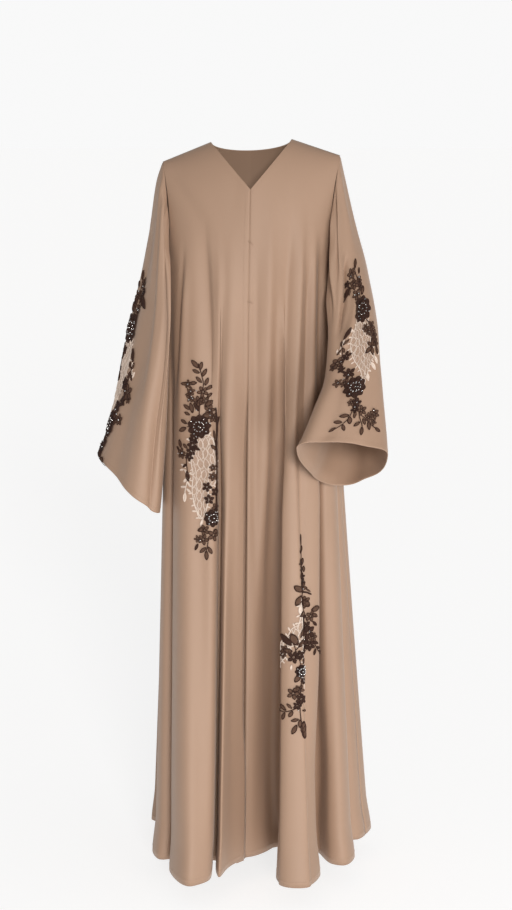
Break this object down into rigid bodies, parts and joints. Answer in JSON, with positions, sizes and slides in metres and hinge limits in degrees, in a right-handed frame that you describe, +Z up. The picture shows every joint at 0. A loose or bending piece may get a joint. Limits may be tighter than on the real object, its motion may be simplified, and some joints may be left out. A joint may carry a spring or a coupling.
{
  "type": "abaya cloak",
  "caption": "Floor-length open-front abaya cloak, worn and hanging: V-neck, wide bell sleeves, lapped front edge, flower sprays and lace patches on hip, knee and sleeves.",
  "frame": {"origin": "middle of the base of the neck, level with the neck ends of the shoulder seams, where the worn cloak is held up", "axes": "+Z up; the wearer faces -Y, so the garment's right side is at -X"},
  "size_m": [0.5892, 0.568, 1.5088],
  "materials": {
    "crepe": "matt taupe-brown crepe",
    "ivory_lace": "ivory guipure lace on net",
    "beaded_embroidery": "dark brown embroidery with beads and sequins"
  },
  "bodies": {
    "root": {"front_right": "crepe", "front_left": "crepe", "back": "crepe", "sleeve_right": "crepe", "sleeve_left": "crepe", "fastening_upper": "crepe", "fastening_lower": "crepe", "lace_hip": "ivory_lace", "lace_knee": "ivory_lace", "lace_sleeve_right": "ivory_lace", "lace_sleeve_left": "ivory_lace", "spray_hip": "beaded_embroidery", "spray_knee": "beaded_embroidery", "spray_sleeve_right": "beaded_embroidery", "spray_sleeve_left": "beaded_embroidery"}
  },
  "joints": []
}
